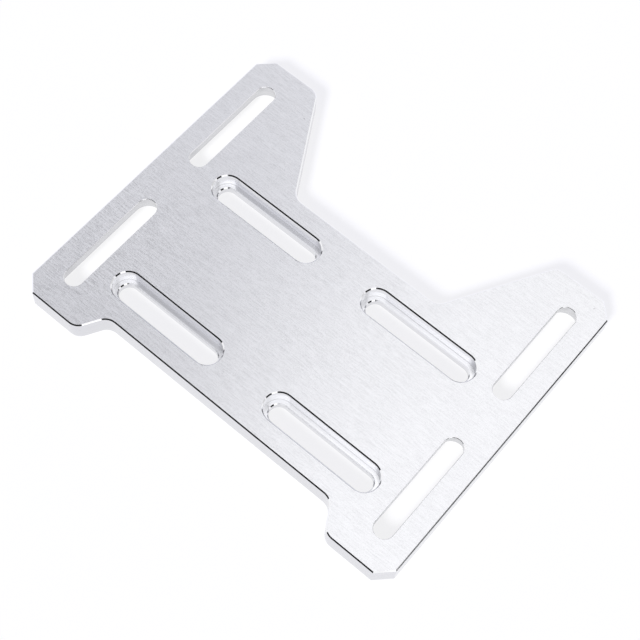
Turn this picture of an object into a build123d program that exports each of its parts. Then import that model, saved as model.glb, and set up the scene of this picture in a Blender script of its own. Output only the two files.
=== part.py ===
from build123d import *
import os

# Engine mount plate, milled from one bar of flat aluminium. All sizes are in millimetres.
# X runs along the plate, Y from its front edge to its back edge, and Z up from its underside.
# The origin is the middle of the underside, below the centre of the engine's bolt pattern.

# Bolt patterns, from middle to middle of the slots
engine_bolts_x = 162.0
engine_bolts_y = 75.5
frame_bolts_y = 61.0

# Slots: a bolt slot with a wider channel for the bolt's head milled along it
engine_slot_travel = 43.0
bolt_slot_width = 8.5
head_channel_width = 13.0
head_channel_depth = 6.6

# Walls of metal left beside the head channels
middle_wall = 25.0
wall_between_patterns = 6.0
waist_side_wall = 9.0
ear_outer_wall = 7.5
ear_inner_wall = 9.5
ear_tip_wall = 9.75

# Outline
plate_thickness = 10.0
front_ear_reach = 12.0
ear_flank_angle = 60.0
flank_fillet = 6.0
corner_cut = 6.3

# Edges
edge_break = 0.5
deburr = 0.2

# The plate and its ears are as large as the patterns, the slots and their walls need.
plate_length = engine_bolts_x + head_channel_width + 2 * ear_outer_wall
plate_width = engine_bolts_y + engine_slot_travel + head_channel_width + 2 * ear_tip_wall
waist_width = frame_bolts_y + head_channel_width + 2 * waist_side_wall
back_ear_reach = plate_width - front_ear_reach - waist_width
bay_mouth = engine_bolts_x - head_channel_width - 2 * ear_inner_wall

# The frame's head channels fill the waist between the middle wall and the ears' head channels.
frame_channel_length = (engine_bolts_x - head_channel_width - middle_wall) / 2 - wall_between_patterns
frame_slot_travel = frame_channel_length - head_channel_width
frame_bolts_x = middle_wall + frame_channel_length

back_edge = plate_width / 2
front_edge = -plate_width / 2
waist_middle = front_edge + front_ear_reach + waist_width / 2


def mill_slots(mouth, bolts_x, bolts_y, travel, run_angle):
    """Mill four slots: a head channel from the mouth plane, then the bolt slot through its floor."""
    into_plate = Axis(mouth.origin, -mouth.z_dir)

    with BuildSketch(mouth) as head_channels:
        with GridLocations(bolts_x, bolts_y, 2, 2):
            SlotCenterToCenter(travel, head_channel_width, rotation=run_angle)
    extrude(head_channels.sketch, amount=-head_channel_depth, mode=Mode.SUBTRACT)
    chamfer(edges(Select.LAST).group_by(into_plate)[0], edge_break)

    with BuildSketch(mouth.offset(-head_channel_depth)) as bolt_slots:
        with GridLocations(bolts_x, bolts_y, 2, 2):
            SlotCenterToCenter(travel, bolt_slot_width, rotation=run_angle)
    extrude(bolt_slots.sketch, amount=head_channel_depth - plate_thickness, mode=Mode.SUBTRACT)
    slot_edges = edges(Select.LAST).group_by(into_plate)
    chamfer(slot_edges[0], edge_break)
    chamfer(slot_edges[-1], deburr)


with BuildPart() as mount_plate:
    # The blank has its four corners cut off at 45 degrees, and a bay in its back and front edges
    # leaves the four ears. The bays have sloping flanks with round corners.
    with BuildSketch() as outline:
        Rectangle(plate_length, plate_width)
        chamfer(outline.vertices(), corner_cut)
        for edge_y, depth, turn in ((back_edge, back_ear_reach, 180), (front_edge, front_ear_reach, 0)):
            with Locations((0, edge_y)):
                Trapezoid(
                    bay_mouth,
                    depth,
                    ear_flank_angle,
                    rotation=turn,
                    align=(Align.CENTER, Align.MIN),
                    mode=Mode.SUBTRACT,
                )
        bay_corners = outline.vertices().filter_by(lambda corner: abs(corner.X) < engine_bolts_x / 2)
        fillet(bay_corners, flank_fillet)
    extrude(amount=plate_thickness)

    # The top edge has a bright bevel all round, and the underside is only deburred.
    chamfer(faces().sort_by(Axis.Z)[-1].edges(), edge_break)
    chamfer(faces().sort_by(Axis.Z)[0].edges(), deburr)

    # The plate bolts to its frame through the waist, with the bolt heads sunk in the top face.
    waist_top = Plane((0, waist_middle, plate_thickness))
    mill_slots(waist_top, frame_bolts_x, frame_bolts_y, frame_slot_travel, 0)

    # The engine's bolts come up through the ears, with their heads sunk in the underside.
    underside = Plane((0, 0, 0), z_dir=(0, 0, -1))
    mill_slots(underside, engine_bolts_x, engine_bolts_y, engine_slot_travel, 90)

mount_plate.part.label = "mount_plate"

os.makedirs("parts", exist_ok=True)
export_step(mount_plate.part, "parts/mount_plate.step")
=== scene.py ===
import math
from types import SimpleNamespace

import bpy
from bpy.props import FloatProperty, FloatVectorProperty, PointerProperty
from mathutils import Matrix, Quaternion, Vector


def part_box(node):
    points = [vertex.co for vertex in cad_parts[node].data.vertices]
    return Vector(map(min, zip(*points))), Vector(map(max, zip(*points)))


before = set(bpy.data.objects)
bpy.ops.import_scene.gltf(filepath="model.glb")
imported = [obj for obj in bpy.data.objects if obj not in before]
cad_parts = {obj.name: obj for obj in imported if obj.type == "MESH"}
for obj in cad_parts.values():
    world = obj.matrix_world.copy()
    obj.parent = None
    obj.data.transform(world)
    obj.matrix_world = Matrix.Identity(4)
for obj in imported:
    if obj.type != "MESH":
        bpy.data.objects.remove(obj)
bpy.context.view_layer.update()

bl_info = {
    "name": "Engine Mount Plate",
    "version": (1, 0, 0),
    "blender": (4, 5, 0),
    "location": "View3D > Sidebar > Mount Plate",
    "description": "Finishes a milled engine mount plate and lights it in a small studio",
    "category": "Object",
}

PLATE = "mount_plate"
MM = 0.001

plate_low, plate_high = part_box(PLATE)
THICKNESS = plate_high.z - plate_low.z


# Places on the plate

# The frame slots lie in two rows, each this far from a line across the waist.
WAIST_MIDDLE = -17.5 * MM
FRAME_SLOT_OFFSET = 30.5 * MM
# No frame slot reaches further from the plate's middle than this.
FRAME_SLOT_REACH = 69.0 * MM
# Middle of an engine slot, and half the sides of a box round it that holds its channel.
ENGINE_SLOT_MIDDLE = (81.0 * MM, 37.75 * MM)
ENGINE_SLOT_REACH = (7.0 * MM, 28.6 * MM)
# Half a channel's width, the height of the floors of the top ones, and how far past a
# channel's wall a point still counts as near the slot.
CHANNEL_RADIUS = 6.5 * MM
CHANNEL_FLOOR = 3.4 * MM
SLOT_MARGIN = 0.3 * MM
# Small dents in the top face: middle, half length and half width in millimetres, turn in
# degrees, and how much darker they are.
NICKS = (
    ((-60.7, 61.2), (0.65, 0.32), -15.0, 0.30),
    ((-54.7, 34.9), (1.20, 0.30), 0.0, 0.18),
    ((87.6, 69.9), (0.95, 0.30), 55.0, 0.26),
)
# The grain is strongest within the first of these distances of the corner. At the second it is
# plain, and from there on it weakens up to the far end.
COARSE_CORNER = (-90.0 * MM, -42.0 * MM, THICKNESS)
COARSE_REACH = (15.0 * MM, 64.0 * MM)
FAR_END = 190.0 * MM


# Finish of the metal

# A surface is level, or at least a bevel, where the upright part of its normal is above this.
LEVEL_FACE = 0.95
LEANING_FACE = 0.4
# A level face is one of the two brushed ones where it is more than this share of the thickness
# above or below the middle.
OUTER_SHARE = 0.49
# The fine grain's length and width, as shares of the streaks', and the streaks' share in the sum.
FINE_LENGTH = 0.048
FINE_WIDTH = 0.8
STREAK_SHARE = 0.38
# Values of the grain noise that count as a deep streak and as none, and its mean shade.
GRAIN_RANGE = (0.32, 0.60)
GRAIN_MEAN = 0.087
# Noise of the grain and of the clouds, and how much rougher a full cloud is.
NOISE_DETAIL = 2.0
NOISE_ROUGHNESS = 0.6
CLOUD_SCALE = 30.0
CLOUD_ROUGHNESS = 0.06
# The cutter's lines round the walls: how fast they change along a wall, and their noise.
PASS_CHANGE = 6.0
PASS_DETAIL = 3.0
PASS_RANGE = (0.35, 0.65)
# The share of the painted shade line at a wall's foot that has its full shade.
CORNER_CORE = 0.4
# How much of the shade painted on plain walls is missing on the lower walls of a frame slot. The
# walls of its channel have none of it.
SLOT_WALL_SHARE = 0.4
# How much rougher the cut surfaces in an engine slot are.
ENGINE_SLOT_ROUGHNESS = 0.14
ARC_DEPTH = 0.003 * MM
NICK_DEPTH = 0.05 * MM
# The share of a nick that has its full depth and shade.
NICK_CORE = 0.3
# On the faces this runs across the grain, and on the walls upright, across the cutter's lines.
ACROSS_THE_GRAIN = (0.0, 1.0, 4.0)


# Studio

# Lengths and places are in metres from the middle of the plate's underside.
FLOOR_COLOUR = (0.95, 0.95, 0.95, 1.0)
WHITE = (1.0, 1.0, 1.0, 1.0)
CARD_BRIGHTNESS = {"black_card": 0.01, "grey_card": 0.72, "bright_card": 1.2}
# Left and right end, bottom and top of the card in front of the plate.
FRONT_CARD = (-1.08, 1.39, 0.16, 1.0)
# Cards round the plate: azimuth in degrees, how much further out than the card distance they
# stand, width, bottom, top and kind.
UPRIGHT_CARDS = {
    "right_black_card": (91.5, 0.0, 0.64, 0.26, 0.78, "black_card"),
    "right_low_black_card": (112.0, 0.0, 0.46, 0.05, 0.14, "black_card"),
    "right_grey_card": (132.0, 0.1, 0.85, 0.14, 0.50, "grey_card"),
    "front_right_bright_card": (65.0, 0.15, 0.62, 0.25, 1.2, "bright_card"),
}
# Left, right, front and back end of the ceiling cloth.
CLOTH_ENDS = (-2.2, 2.2, -1.6, 2.4)
# The turn from grey to white. In front of the first of these places along Y it starts and ends
# this far right of the ceiling's edge, and behind the second it is as wide as the blur.
CLOTH_TURN = (-0.2, 0.2)
FRONT_TURN = (-0.05, 0.11)
# Brightness of the cloth's grey and white halves. Each row says: from and to along Y, and the
# brightness at each. The rows of a half add up.
GREY_CLOTH = ((0.15, 0.85, 0.69, 0.96), (-0.74, -0.36, 0.22, -0.14), (-0.30, 0.0, 0.0, 0.13))
WHITE_CLOTH = ((-0.3, 0.2, 1.11, 1.22), (-0.74, -0.40, 0.24, 0.0))
# The white half is also multiplied by a fade towards the back, laid out as the rows above, and
# by one at its back right, which comes in between these places along X and along Y.
BACK_FADE = (0.3, 0.8, 1.05, 0.89)
RIGHT_FADE_X = (0.0, 0.35)
RIGHT_FADE_Y = (-0.1, 0.2)
RIGHT_FADE = 0.80
# Dim round patches: middle, radius of the core, radius of the whole and brightness of the core.
WHITE_PATCH = ((0.63, 0.27), 0.05, 0.35, 0.52)
LEFT_PATCH = ((-0.46, 0.0), 0.08, 0.27, 0.58)
GREY_TINT = (0.968, 0.971, 1.017, 1.0)
WHITE_TINT = (0.997, 0.997, 1.006, 1.0)
# The camera's sensor, in millimetres, and the nearest that it sees.
SENSOR_WIDTH = 36.0
NEAREST_SEEN = 0.01


# Settings

class BrushedFinish(bpy.types.PropertyGroup):
    """The long grain of the bar's two faces."""

    metal_colour: FloatVectorProperty(
        name="Metal Colour", description="Colour of bare aluminium",
        subtype="COLOR", size=3, min=0.0, max=1.0, default=(0.914, 0.917, 0.938))
    grain_length: FloatProperty(
        name="Grain Length", description="Length of a streak, along the plate",
        unit="LENGTH", default=5.5 * MM)
    grain_width: FloatProperty(
        name="Grain Width", description="Width of a streak, across the plate",
        unit="LENGTH", default=0.28 * MM)
    grain_shade: FloatProperty(
        name="Grain Shade",
        description="How much darker a deep streak is than the metal beside it",
        subtype="FACTOR", min=0.0, max=1.0, default=0.28)
    corner_grain: FloatProperty(
        name="Corner Grain",
        description="How many times as strong the grain is near the front left corner",
        subtype="FACTOR", min=0.0, max=3.0, default=1.8)
    far_grain: FloatProperty(
        name="Far Grain",
        description="How many times as strong the grain is at the far right end",
        subtype="FACTOR", min=0.0, max=3.0, default=0.7)
    grain_depth: FloatProperty(
        name="Grain Depth", description="Depth of the streaks",
        unit="LENGTH", default=0.015 * MM)
    roughness: FloatProperty(
        name="Face Roughness", description="Roughness of the brushed faces",
        subtype="FACTOR", min=0.0, max=1.0, default=0.30)
    anisotropy: FloatProperty(
        name="Anisotropy",
        description="How much further the grain spreads light across itself than along itself",
        subtype="FACTOR", min=0.0, max=1.0, default=0.80)


class MilledFinish(bpy.types.PropertyGroup):
    """The cut surfaces: bevels, walls and the floors of the head channels, and the shade painted on
    them.
    """

    bevel_roughness: FloatProperty(
        name="Bevel Roughness", description="Roughness of the bright bevels",
        subtype="FACTOR", min=0.0, max=1.0, default=0.07)
    wall_roughness: FloatProperty(
        name="Wall Roughness", description="Roughness of the milled walls",
        subtype="FACTOR", min=0.0, max=1.0, default=0.13)
    ledge_roughness: FloatProperty(
        name="Channel Floor Roughness", description="Roughness of the head channels' floors",
        subtype="FACTOR", min=0.0, max=1.0, default=0.20)
    # Painted shade: the walls outside the top channels are darkened in colour, so that they mirror
    # the white floor less brightly.
    wall_painted_shade: FloatProperty(
        name="Wall Shade", description="How much darker the walls are outside the top channels",
        subtype="FACTOR", min=0.0, max=1.0, default=0.205)
    # Painted shade: a dark line painted where a wall meets a channel's floor, where the corner's
    # shade falls.
    corner_painted_shade: FloatProperty(
        name="Corner Shade",
        description="How much darker the line is where a wall meets a channel's floor",
        subtype="FACTOR", min=0.0, max=1.0, default=0.30)
    corner_width: FloatProperty(
        name="Corner Width", description="Width of that line",
        unit="LENGTH", default=0.30 * MM)
    # Painted shade: the floors of the head channels are darkened in colour, as shade in their
    # recess.
    ledge_painted_shade: FloatProperty(
        name="Channel Floor Shade", description="How much darker the head channels' floors are",
        subtype="FACTOR", min=0.0, max=1.0, default=0.05)
    channel_slope: FloatProperty(
        name="Channel Floor Slope",
        description="How far the flat channel floors are shaded as leaning up to their walls",
        subtype="ANGLE", default=math.radians(3.6))
    pass_height: FloatProperty(
        name="Pass Height", description="Height of the lines that the cutter leaves on the walls",
        unit="LENGTH", default=1.1 * MM)
    pass_shade: FloatProperty(
        name="Pass Shade", description="How much darker such a line is than the wall beside it",
        subtype="FACTOR", min=0.0, max=1.0, default=0.10)
    pass_depth: FloatProperty(
        name="Pass Depth", description="Depth of such a line",
        unit="LENGTH", default=0.008 * MM)
    plain_pass: FloatProperty(
        name="Plain Wall Share", description="How strong such lines are outside the top channels",
        subtype="FACTOR", min=0.0, max=1.0, default=0.2)
    feed: FloatProperty(
        name="Feed", description="Distance between the cutter's arcs on the channels' floors",
        unit="LENGTH", default=0.45 * MM)


class Studio(bpy.types.PropertyGroup):
    """The pale floor, the sun, the soft light and the cards that the metal mirrors."""

    floor_size: FloatProperty(
        name="Floor Size", description="Side of the square floor",
        unit="LENGTH", default=12.0)
    floor_white: FloatProperty(
        name="Floor White", description="Share of the floor's white that no shadow takes away",
        subtype="FACTOR", min=0.0, max=1.0, default=0.82)
    sky_colour: FloatVectorProperty(
        name="Sky Colour",
        description="Colour of the soft light from all round, which is that of the shadows",
        subtype="COLOR", size=3, min=0.0, max=1.0, default=(0.50, 0.49, 1.0))
    sky_light: FloatProperty(
        name="Sky Light", description="Brightness of the soft light from all round",
        subtype="FACTOR", min=0.0, max=1.0, default=0.50)
    sun_azimuth: FloatProperty(
        name="Sun Azimuth", description="Turn round the plate, from its front to its right end",
        subtype="ANGLE", default=math.radians(8.0))
    sun_elevation: FloatProperty(
        name="Sun Elevation", description="Height of the sun above the horizon",
        subtype="ANGLE", default=math.radians(41.0))
    sun_strength: FloatProperty(
        name="Sun Strength", description="How bright a white card looks that is turned to the sun",
        subtype="FACTOR", min=0.0, max=2.0, default=1.21)
    sun_softness: FloatProperty(
        name="Sun Softness", description="Width of the sun as seen from the plate",
        subtype="ANGLE", default=math.radians(14.0))
    card_distance: FloatProperty(
        name="Card Distance", description="How far the upright cards stand from the plate's middle",
        unit="LENGTH", default=1.2)
    ceiling_height: FloatProperty(
        name="Ceiling Height", description="Height of the pale cloth that hangs over the plate",
        unit="LENGTH", default=1.25)
    ceiling_edge: FloatProperty(
        name="Ceiling Edge",
        description="How far left of the plate's middle the cloth turns from white to grey",
        unit="LENGTH", default=0.35)
    ceiling_blur: FloatProperty(
        name="Ceiling Blur", description="Width of that turn from white to grey",
        unit="LENGTH", default=0.30)


class PlateCamera(bpy.types.PropertyGroup):
    """The camera, which looks down on the plate over its front right corner."""

    lens: FloatProperty(
        name="Lens", description="Focal length on a 36 mm wide sensor",
        unit="CAMERA", default=82.64)
    distance: FloatProperty(
        name="Distance", description="From the camera to the point it looks at",
        unit="LENGTH", default=592.9 * MM)
    azimuth: FloatProperty(
        name="Azimuth", description="Turn round the plate, from its front to its right end",
        subtype="ANGLE", default=math.radians(34.29))
    elevation: FloatProperty(
        name="Elevation", description="Height above the horizon",
        subtype="ANGLE", default=math.radians(64.16))
    roll: FloatProperty(
        name="Roll", description="Turn about the line of sight",
        subtype="ANGLE", default=math.radians(6.31))
    aim: FloatVectorProperty(
        name="Aim", description="The point on the top face that the camera looks at",
        subtype="XYZ", unit="LENGTH", size=3, default=(6.47 * MM, -8.24 * MM, plate_high.z))


# Node helpers

def add_node(tree, kind, values=None, **settings):
    """Add a node, with settings such as its operation, and a link or a value for its sockets."""
    node = tree.nodes.new(kind)
    for name, value in settings.items():
        setattr(node, name, value)
    for socket, value in (values or {}).items():
        if isinstance(value, bpy.types.NodeSocket):
            tree.links.new(value, node.inputs[socket])
        else:
            node.inputs[socket].default_value = value
    return node


def maths(tree, operation, *values):
    """Add a Math node and return its result."""
    return add_node(tree, "ShaderNodeMath", dict(enumerate(values)), operation=operation).outputs[0]


def total(tree, first, *others):
    """Add values up."""
    for value in others:
        first = maths(tree, "ADD", first, value)
    return first


def product(tree, first, *others):
    """Multiply values together."""
    for value in others:
        first = maths(tree, "MULTIPLY", first, value)
    return first


def gap(tree, value, place):
    """How far a value is from a place, to either side."""
    return maths(tree, "ABSOLUTE", maths(tree, "SUBTRACT", value, place))


def distance(tree, position, place):
    """How far a point is from a place."""
    node = add_node(
        tree, "ShaderNodeVectorMath", {0: position, 1: place}, operation="DISTANCE")
    return node.outputs["Value"]


def split(tree, vector):
    """The parts X, Y and Z of a vector."""
    return add_node(tree, "ShaderNodeSeparateXYZ", {0: vector}).outputs


def ramp(tree, value, low, high, to_low=0.0, to_high=1.0):
    """Take a value from one range to another, with a smooth start and end."""
    node = add_node(
        tree, "ShaderNodeMapRange",
        {"Value": value, "From Min": low, "From Max": high, "To Min": to_low, "To Max": to_high},
        interpolation_type="SMOOTHSTEP")
    return node.outputs["Result"]


def mix(tree, share, first, second):
    """Go from one value to another."""
    node = add_node(
        tree, "ShaderNodeMix", {"Factor": share, "A": first, "B": second}, data_type="FLOAT")
    return node.outputs[0]


def mix_colours(tree, share, first, second):
    """Go from one plain colour to another."""
    node = add_node(tree, "ShaderNodeMix", {"Factor": share}, data_type="RGBA")
    sockets = {socket.identifier: socket for socket in (*node.inputs, *node.outputs)}
    sockets["A_Color"].default_value = first
    sockets["B_Color"].default_value = second
    return sockets["Result_Color"]


def stretched_noise(tree, position, scales, detail):
    """Noise with a scale of its own along each axis."""
    stretch = add_node(tree, "ShaderNodeCombineXYZ", scales)
    squeezed = add_node(
        tree, "ShaderNodeVectorMath", {0: position, 1: stretch.outputs[0]}, operation="MULTIPLY")
    noise = add_node(
        tree, "ShaderNodeTexNoise",
        {"Vector": squeezed.outputs[0], "Scale": 1.0, "Detail": detail,
         "Roughness": NOISE_ROUGHNESS})
    return noise.outputs[0]


def new_group(name, inputs, outputs):
    """Start a shader node group, from the names and kinds of its sockets."""
    tree = bpy.data.node_groups.new(name, "ShaderNodeTree")
    for in_out, sockets in (("INPUT", inputs), ("OUTPUT", outputs)):
        for label, kind in sockets.items():
            tree.interface.new_socket(label, in_out=in_out, socket_type=f"NodeSocket{kind}")
    given, made = tree.nodes.new("NodeGroupInput"), tree.nodes.new("NodeGroupOutput")
    return tree, given.outputs, made.inputs


def place_group(tree, group, values):
    """Place a node group in a material with its own values."""
    return add_node(tree, "ShaderNodeGroup", values, node_tree=group).outputs


# Shader groups

def brushed_grain_group():
    """Streaks that run along X, as a belt leaves them, and soft clouds."""
    tree, given, made = new_group(
        "Brushed Grain", {"Position": "Vector", "Length": "Float", "Width": "Float"},
        {"Grain": "Float", "Clouds": "Float"})
    along = maths(tree, "DIVIDE", 1.0, given["Length"])
    across = maths(tree, "DIVIDE", 1.0, given["Width"])
    streaks = stretched_noise(
        tree, given["Position"], {"X": along, "Y": across, "Z": across}, NOISE_DETAIL)
    clouds = add_node(
        tree, "ShaderNodeTexNoise",
        {"Vector": given["Position"], "Scale": CLOUD_SCALE, "Detail": NOISE_DETAIL})
    tree.links.new(streaks, made["Grain"])
    tree.links.new(clouds.outputs[0], made["Clouds"])
    return tree


def cut_faces_group():
    """Masks for brushed faces, bevels and channel floors, and for the engine slots' places."""
    tree, given, made = new_group(
        "Cut Faces", {"Position": "Vector", "Normal": "Vector", "Thickness": "Float"},
        {"Brushed": "Float", "Bevel": "Float", "Ledge": "Float", "Engine Slot": "Float"})
    place = split(tree, given["Position"])
    upright = maths(tree, "ABSOLUTE", split(tree, given["Normal"])["Z"])
    level = maths(tree, "GREATER_THAN", upright, LEVEL_FACE)
    leaning = maths(tree, "GREATER_THAN", upright, LEANING_FACE)
    from_middle = gap(tree, place["Z"], product(tree, given["Thickness"], 0.5))
    outer = maths(
        tree, "GREATER_THAN", from_middle, product(tree, given["Thickness"], OUTER_SHARE))
    brushed = product(tree, level, outer)
    tree.links.new(brushed, made["Brushed"])
    tree.links.new(maths(tree, "SUBTRACT", leaning, level), made["Bevel"])
    tree.links.new(maths(tree, "SUBTRACT", level, brushed), made["Ledge"])
    beside, along = (
        maths(tree, "LESS_THAN", gap(tree, maths(tree, "ABSOLUTE", place[axis]), middle), reach)
        for axis, middle, reach in zip("XY", ENGINE_SLOT_MIDDLE, ENGINE_SLOT_REACH))
    tree.links.new(product(tree, beside, along), made["Engine Slot"])
    return tree


def cutter_pass_group():
    """Level lines round a wall, as a milling cutter leaves them, some deeper than others."""
    tree, given, made = new_group(
        "Cutter Passes", {"Position": "Vector", "Height": "Float"}, {"Line": "Float"})
    upwards = maths(tree, "DIVIDE", 1.0, given["Height"])
    lines = stretched_noise(
        tree, given["Position"], {"X": PASS_CHANGE, "Y": PASS_CHANGE, "Z": upwards}, PASS_DETAIL)
    tree.links.new(ramp(tree, lines, *PASS_RANGE), made["Line"])
    return tree


def cutter_arc_group():
    """The arcs that an end mill leaves on the floor of a channel as it moves along it."""
    tree, given, made = new_group(
        "Cutter Arcs", {"Along": "Float", "Across": "Float", "Radius": "Float", "Feed": "Float"},
        {"Arc": "Float"})
    across = maths(tree, "POWER", given["Across"], 2.0)
    radius = maths(tree, "POWER", given["Radius"], 2.0)
    inside = maths(tree, "MAXIMUM", maths(tree, "SUBTRACT", radius, across), 0.0)
    travel = total(tree, given["Along"], maths(tree, "SQRT", inside))
    turns = product(tree, maths(tree, "DIVIDE", travel, given["Feed"]), 2 * math.pi)
    wave = maths(tree, "SINE", turns)
    tree.links.new(maths(tree, "MULTIPLY_ADD", wave, 0.5, 0.5), made["Arc"])
    return tree


def nick_group():
    """A small dent in the face: 1 in its middle and 0 outside it."""
    tree, given, made = new_group(
        "Nick", {"Position": "Vector", "Middle": "Vector", "Turn": "Vector", "Size": "Vector"},
        {"Nick": "Float"})
    local = add_node(
        tree, "ShaderNodeMapping",
        {"Vector": given["Position"], "Location": given["Middle"], "Rotation": given["Turn"],
         "Scale": given["Size"]},
        vector_type="TEXTURE")
    reach = add_node(tree, "ShaderNodeVectorMath", {0: local.outputs[0]}, operation="LENGTH")
    tree.links.new(ramp(tree, reach.outputs["Value"], NICK_CORE, 1.0, 1.0, 0.0), made["Nick"])
    return tree


# Metal

def find_surfaces(tree, position, normal):
    """Masks for the plate's surfaces, and how far a point is from its middle and its slots."""
    faces = place_group(
        tree, cut_faces_group(),
        {"Position": position, "Normal": normal, "Thickness": THICKNESS})
    face, bevel, ledge = faces["Brushed"], faces["Bevel"], faces["Ledge"]
    place = split(tree, position)
    from_middle = maths(tree, "ABSOLUTE", place["X"])
    from_slot_line = gap(tree, gap(tree, place["Y"], WAIST_MIDDLE), FRAME_SLOT_OFFSET)
    near_slot = product(
        tree, maths(tree, "LESS_THAN", from_slot_line, CHANNEL_RADIUS + SLOT_MARGIN),
        maths(tree, "LESS_THAN", from_middle, FRAME_SLOT_REACH))
    above_floor = maths(tree, "GREATER_THAN", place["Z"], CHANNEL_FLOOR)
    return SimpleNamespace(
        face=face, bevel=bevel, ledge=ledge,
        wall=maths(tree, "SUBTRACT", 1.0, total(tree, face, ledge, bevel)),
        rough_cut=product(tree, faces["Engine Slot"], maths(tree, "SUBTRACT", 1.0, face)),
        near_slot=near_slot, in_channel=product(tree, near_slot, above_floor),
        faces_up=maths(tree, "GREATER_THAN", split(tree, normal)["Z"], 0.0),
        place=place, from_middle=from_middle, from_slot_line=from_slot_line)


def find_marks(tree, position, on, brushed, milled):
    """The grain, clouds, cutter lines, cutter arcs and nicks."""
    grain = brushed_grain_group()
    streaks, fine = (
        place_group(tree, grain, {
            "Position": position, "Length": brushed.grain_length * length,
            "Width": brushed.grain_width * width})
        for length, width in ((1.0, 1.0), (FINE_LENGTH, FINE_WIDTH)))
    grit = total(
        tree, product(tree, streaks["Grain"], STREAK_SHARE),
        product(tree, fine["Grain"], 1.0 - STREAK_SHARE))

    passes = place_group(
        tree, cutter_pass_group(), {"Position": position, "Height": milled.pass_height})
    strength = ramp(tree, on.in_channel, 0.0, 1.0, milled.plain_pass, 1.0)
    line = product(tree, passes["Line"], on.wall, strength)

    arc = cutter_arc_group()
    from_engine_line = gap(tree, on.from_middle, ENGINE_SLOT_MIDDLE[0])
    engine_arcs, frame_arcs = (
        place_group(tree, arc, {
            "Along": along, "Across": across, "Radius": CHANNEL_RADIUS,
            "Feed": milled.feed})["Arc"]
        for along, across in (
            (on.place["Y"], from_engine_line), (on.place["X"], on.from_slot_line)))

    nick = nick_group()
    dents = []
    for middle, half, turn, darkness in NICKS:
        made = place_group(tree, nick, {
            "Position": position,
            "Middle": (middle[0] * MM, middle[1] * MM, THICKNESS),
            "Turn": (0.0, 0.0, math.radians(turn)),
            "Size": (half[0] * MM, half[1] * MM, THICKNESS / 2)})
        dents.append(product(tree, made["Nick"], darkness))

    return SimpleNamespace(
        grit=grit, clouds=streaks["Clouds"], line=line, nicks=total(tree, *dents),
        arcs=mix(tree, on.faces_up, engine_arcs, frame_arcs))


def marks_and_painted_shade(tree, position, on, marks, brushed, milled):
    """How much darker each point is than clean metal, from its marks and from painted shade."""
    from_coarse = distance(tree, position, COARSE_CORNER)
    coarse = product(
        tree, ramp(tree, from_coarse, *COARSE_REACH, brushed.corner_grain, 1.0),
        ramp(tree, from_coarse, COARSE_REACH[1], FAR_END, 1.0, brushed.far_grain))
    deep = total(tree, product(tree, coarse, brushed.grain_shade - GRAIN_MEAN), GRAIN_MEAN)
    pale = maths(tree, "SUBTRACT", GRAIN_MEAN, product(tree, coarse, GRAIN_MEAN))
    grain = product(tree, on.face, ramp(tree, marks.grit, *GRAIN_RANGE, deep, pale))

    # Painted shade along the foot of the walls near a frame slot, at the height of the channels'
    # floors.
    width = milled.corner_width
    from_corner = gap(tree, on.place["Z"], CHANNEL_FLOOR)
    foot = ramp(tree, from_corner, width * CORNER_CORE, width, milled.corner_painted_shade, 0.0)
    corner = product(tree, on.wall, on.near_slot, foot)

    # Painted shade on the walls: less of it on a frame slot's lower walls, and none in its channel.
    inside = total(
        tree, product(tree, on.near_slot, SLOT_WALL_SHARE),
        product(tree, on.in_channel, 1.0 - SLOT_WALL_SHARE))
    painted_shade_walls = product(tree, on.wall, maths(tree, "SUBTRACT", 1.0, inside))
    # The sum holds the grain, the cutter lines and the nicks, and the painted shade at the walls'
    # feet, on the walls and on the channels' floors.
    return total(
        tree, grain, product(tree, marks.line, milled.pass_shade), marks.nicks, corner,
        product(tree, painted_shade_walls, milled.wall_painted_shade),
        product(tree, on.ledge, milled.ledge_painted_shade))


def metal_roughness(tree, on, marks, brushed, milled):
    """How rough each point is."""
    clouds = product(tree, marks.clouds, CLOUD_ROUGHNESS)
    rough = product(tree, on.face, total(tree, brushed.roughness, clouds))
    for mask, roughness in (
            (on.wall, milled.wall_roughness), (on.bevel, milled.bevel_roughness),
            (on.ledge, milled.ledge_roughness), (on.rough_cut, ENGINE_SLOT_ROUGHNESS)):
        rough = total(tree, rough, product(tree, mask, roughness))
    return rough


def metal_height(tree, on, marks, brushed, milled):
    """How far each point stands out from the solid, for the bump."""
    slope = product(tree, on.from_slot_line, math.tan(milled.channel_slope))
    return total(
        tree, product(tree, on.face, product(tree, marks.grit, brushed.grain_depth)),
        product(tree, marks.line, -milled.pass_depth),
        product(tree, on.ledge, product(tree, marks.arcs, ARC_DEPTH)),
        product(tree, on.ledge, on.near_slot, slope),
        product(tree, marks.nicks, -NICK_DEPTH))


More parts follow.
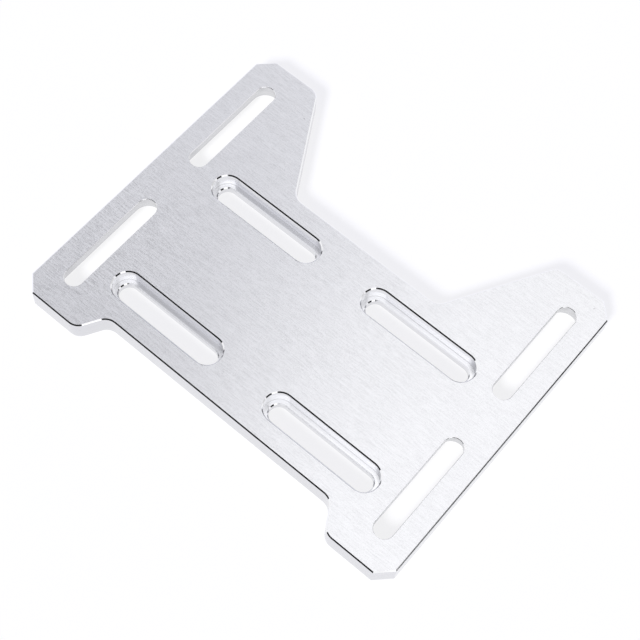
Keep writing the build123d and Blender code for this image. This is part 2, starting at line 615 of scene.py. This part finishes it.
def plate_metal(brushed, milled):
    """Bare aluminium: brushed on its two faces, mirror bright on its bevels, else milled."""
    material = bpy.data.materials.new("brushed_and_milled_aluminium")
    material.use_nodes = True
    tree = material.node_tree
    shader = tree.nodes["Principled BSDF"]
    coordinates = tree.nodes.new("ShaderNodeTexCoord")
    position = coordinates.outputs["Object"]
    on = find_surfaces(tree, position, coordinates.outputs["Normal"])
    marks = find_marks(tree, position, on, brushed, milled)

    lightness = maths(
        tree, "SUBTRACT", 1.0, marks_and_painted_shade(tree, position, on, marks, brushed, milled))
    colour = add_node(
        tree, "ShaderNodeVectorMath", {0: tuple(brushed.metal_colour), "Scale": lightness},
        operation="SCALE")
    height = metal_height(tree, on, marks, brushed, milled)
    bump = add_node(
        tree, "ShaderNodeBump", {"Height": height, "Distance": 1.0, "Strength": 1.0})
    across_grain = add_node(
        tree, "ShaderNodeVectorTransform", {0: ACROSS_THE_GRAIN},
        vector_type="VECTOR", convert_from="OBJECT", convert_to="WORLD")
    roughness = metal_roughness(tree, on, marks, brushed, milled)
    for socket, value in (
            ("Base Color", colour.outputs[0]), ("Roughness", roughness),
            ("Normal", bump.outputs[0]), ("Tangent", across_grain.outputs[0])):
        tree.links.new(value, shader.inputs[socket])
    shader.inputs["Metallic"].default_value = 1.0
    shader.inputs["Anisotropic"].default_value = brushed.anisotropy
    return material


# Studio materials

def empty_material(name):
    """Start a material that has no shader yet."""
    material = bpy.data.materials.new(name)
    material.use_nodes = True
    tree = material.node_tree
    tree.nodes.remove(tree.nodes["Principled BSDF"])
    return material, tree


def show(tree, shader):
    """Use a shader for the surface."""
    tree.links.new(shader.outputs[0], tree.nodes["Material Output"].inputs["Surface"])


def seen_directly(tree):
    """1 on rays from the camera, and on rays that a mirror or glass sends on, else 0."""
    path = tree.nodes.new("ShaderNodeLightPath").outputs
    seen = maths(tree, "MAXIMUM", path["Is Camera Ray"], path["Is Glossy Ray"])
    return maths(tree, "MAXIMUM", seen, path["Is Transmission Ray"])


def glow(name, brightness):
    """A flat card that looks the same from everywhere."""
    material, tree = empty_material(name)
    colour = (brightness, brightness, brightness, 1.0)
    show(tree, add_node(tree, "ShaderNodeEmission", {"Color": colour}))
    return material


def floor_white(studio):
    """White for the camera and for the metal, with a faint shadow, and matt for all else."""
    material, tree = empty_material("studio_floor")
    matt = add_node(tree, "ShaderNodeBsdfDiffuse", {"Color": FLOOR_COLOUR})
    white = tree.nodes.new("ShaderNodeEmission")
    seen = product(tree, seen_directly(tree), studio.floor_white)
    both = add_node(
        tree, "ShaderNodeMixShader", {0: seen, 1: matt.outputs[0], 2: white.outputs[0]})
    show(tree, both)
    return material


def ceiling_cloth(studio):
    """Grey on the left and white on the right, and uneven, as the metal mirrors it."""
    material, tree = empty_material("ceiling_cloth")
    position = tree.nodes.new("ShaderNodeTexCoord").outputs["Object"]
    place = split(tree, position)
    right, back = place["X"], place["Y"]
    height = studio.ceiling_height

    def patch(middle, core, whole, brightness):
        """A round place that is dimmer in its middle."""
        return ramp(tree, distance(tree, position, (*middle, height)), core, whole, brightness, 1.0)

    edge, blur = -studio.ceiling_edge, studio.ceiling_blur / 2
    starts, ends = (
        ramp(tree, back, *CLOTH_TURN, edge + in_front, edge + behind)
        for in_front, behind in zip(FRONT_TURN, (-blur, blur)))
    white = ramp(tree, right, starts, ends)

    dim = patch(*LEFT_PATCH)
    grey = total(tree, *(ramp(tree, back, *row) for row in GREY_CLOTH))
    bright = total(tree, *(ramp(tree, back, *row) for row in WHITE_CLOTH))
    far_right = product(
        tree, ramp(tree, right, *RIGHT_FADE_X), ramp(tree, back, *RIGHT_FADE_Y))
    bright = product(
        tree, bright, ramp(tree, back, *BACK_FADE), ramp(tree, far_right, 0.0, 1.0, 1.0, RIGHT_FADE),
        patch(*WHITE_PATCH), dim)

    light = add_node(tree, "ShaderNodeEmission", {
        "Color": mix_colours(tree, white, GREY_TINT, WHITE_TINT),
        "Strength": mix(tree, white, product(tree, grey, dim), bright)})
    show(tree, light)
    return material


# Stage

def add_card(name, corners, material):
    """Add a flat four-cornered card to the stage, seen only in the metal's reflections."""
    mesh = bpy.data.meshes.new(name)
    mesh.from_pydata([tuple(corner) for corner in corners], [], [(0, 1, 2, 3)])
    mesh.materials.append(material)
    card = bpy.data.objects.new(name, mesh)
    bpy.context.scene.collection.objects.link(card)
    card.visible_camera = False
    card.visible_diffuse = False
    card.visible_shadow = False
    return card


def level_corners(left, right, front, back, height):
    """The corners of a level card."""
    return [
        (left, front, height), (right, front, height), (right, back, height), (left, back, height)]


def outward(azimuth, elevation=0.0):
    """The direction from the plate, turned from its front to its right end and then up."""
    level = math.cos(elevation)
    return Vector((math.sin(azimuth) * level, -math.cos(azimuth) * level, math.sin(elevation)))


def add_upright_card(name, azimuth, distance_out, width, bottom, top, material):
    """Stand a card beside the plate, square to the line from the plate's middle."""
    out = outward(math.radians(azimuth))
    side = Vector((-out.y, out.x, 0.0)) * width / 2
    foot = out * distance_out
    low, high = Vector((0, 0, bottom)), Vector((0, 0, top))
    corners = [foot - side + low, foot + side + low, foot + side + high, foot - side + high]
    add_card(name, corners, material)


def add_sun(studio):
    """Light the floor evenly from one side, unseen by the metal."""
    lamp = bpy.data.lights.new("key_light", "SUN")
    lamp.energy = math.pi * studio.sun_strength
    lamp.angle = studio.sun_softness
    light = bpy.data.objects.new("key_light", lamp)
    away = outward(studio.sun_azimuth, studio.sun_elevation)
    light.rotation_mode = "QUATERNION"
    light.rotation_quaternion = (-away).to_track_quat("-Z", "Y")
    light.visible_glossy = False
    bpy.context.scene.collection.objects.link(light)


def add_sky(studio):
    """White for the camera and for the metal, and a soft light for all else."""
    world = bpy.data.worlds.new("studio")
    bpy.context.scene.world = world
    world.use_nodes = True
    tree = world.node_tree
    background = tree.nodes["Background"]
    seen = seen_directly(tree)
    colour = mix_colours(tree, seen, (*studio.sky_colour, 1.0), WHITE)
    strength = ramp(tree, seen, 0.0, 1.0, studio.sky_light, 1.0)
    tree.links.new(colour, background.inputs["Color"])
    tree.links.new(strength, background.inputs["Strength"])


class MOUNTPLATE_OT_build_studio(bpy.types.Operator):
    """Lay the pale floor, hang the ceiling cloth, stand the cards and add the lights"""

    bl_idname = "mountplate.build_studio"
    bl_label = "Build Studio"
    bl_options = {"REGISTER", "UNDO"}

    def execute(self, context):
        studio = context.scene.mount_plate_studio
        half = studio.floor_size / 2
        floor = add_card(
            "studio_floor", level_corners(-half, half, -half, half, 0), floor_white(studio))
        floor.visible_camera = floor.visible_diffuse = floor.visible_shadow = True

        cards = {name: glow(name, brightness) for name, brightness in CARD_BRIGHTNESS.items()}
        left, right, low, high = FRONT_CARD
        front = -studio.card_distance
        add_card(
            "front_black_card",
            [(left, front, low), (right, front, low), (right, front, high), (left, front, high)],
            cards["black_card"])
        for name, (azimuth, further, width, bottom, top, kind) in UPRIGHT_CARDS.items():
            add_upright_card(
                name, azimuth, studio.card_distance + further, width, bottom, top, cards[kind])
        add_card(
            "ceiling_cloth", level_corners(*CLOTH_ENDS, studio.ceiling_height),
            ceiling_cloth(studio))

        add_sun(studio)
        add_sky(studio)
        context.scene.view_settings.view_transform = "Standard"
        return {"FINISHED"}


class MOUNTPLATE_OT_place_camera(bpy.types.Operator):
    """Place the camera over the plate's front right corner"""

    bl_idname = "mountplate.place_camera"
    bl_label = "Place Camera"
    bl_options = {"REGISTER", "UNDO"}

    def execute(self, context):
        settings = context.scene.mount_plate_camera
        lens = bpy.data.cameras.new("camera")
        lens.sensor_width = SENSOR_WIDTH
        lens.lens = settings.lens
        lens.clip_start = NEAREST_SEEN
        camera = bpy.data.objects.new("camera", lens)
        back = outward(settings.azimuth, settings.elevation)
        camera.location = Vector(settings.aim) + back * settings.distance
        camera.rotation_mode = "QUATERNION"
        level = (-back).to_track_quat("-Z", "Y")
        camera.rotation_quaternion = level @ Quaternion((0, 0, 1), settings.roll)
        context.scene.collection.objects.link(camera)
        context.scene.camera = camera
        return {"FINISHED"}


class MOUNTPLATE_OT_finish_plate(bpy.types.Operator):
    """Give the plate its brushed faces, bright bevels and milled walls"""

    bl_idname = "mountplate.finish_plate"
    bl_label = "Finish Plate"
    bl_options = {"REGISTER", "UNDO"}

    def execute(self, context):
        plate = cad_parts[PLATE]
        if not plate.material_slots:
            raise RuntimeError("The plate has no material slot")
        scene = context.scene
        metal = plate_metal(scene.mount_plate_brushed, scene.mount_plate_milled)
        plate.material_slots[0].material = metal
        return {"FINISHED"}


class MOUNTPLATE_PT_panel(bpy.types.Panel):
    """Lists the steps that make the plate and its studio."""

    bl_label = "Mount Plate"
    bl_idname = "MOUNTPLATE_PT_panel"
    bl_space_type = "VIEW_3D"
    bl_region_type = "UI"
    bl_category = "Mount Plate"

    def draw(self, context):
        for operator in OPERATORS:
            self.layout.operator(operator.bl_idname)


SETTINGS = {
    "mount_plate_brushed": BrushedFinish,
    "mount_plate_milled": MilledFinish,
    "mount_plate_studio": Studio,
    "mount_plate_camera": PlateCamera,
}
OPERATORS = (MOUNTPLATE_OT_finish_plate, MOUNTPLATE_OT_build_studio, MOUNTPLATE_OT_place_camera)
CLASSES = (*SETTINGS.values(), *OPERATORS, MOUNTPLATE_PT_panel)


def register():
    for cls in CLASSES:
        bpy.utils.register_class(cls)
    for name, settings in SETTINGS.items():
        setattr(bpy.types.Scene, name, PointerProperty(type=settings))


def unregister():
    for name in SETTINGS:
        delattr(bpy.types.Scene, name)
    for cls in reversed(CLASSES):
        bpy.utils.unregister_class(cls)


def main():
    """Make the whole scene."""
    register()
    bpy.ops.mountplate.finish_plate()
    bpy.ops.mountplate.build_studio()
    bpy.ops.mountplate.place_camera()


if __name__ == "__main__":
    main()
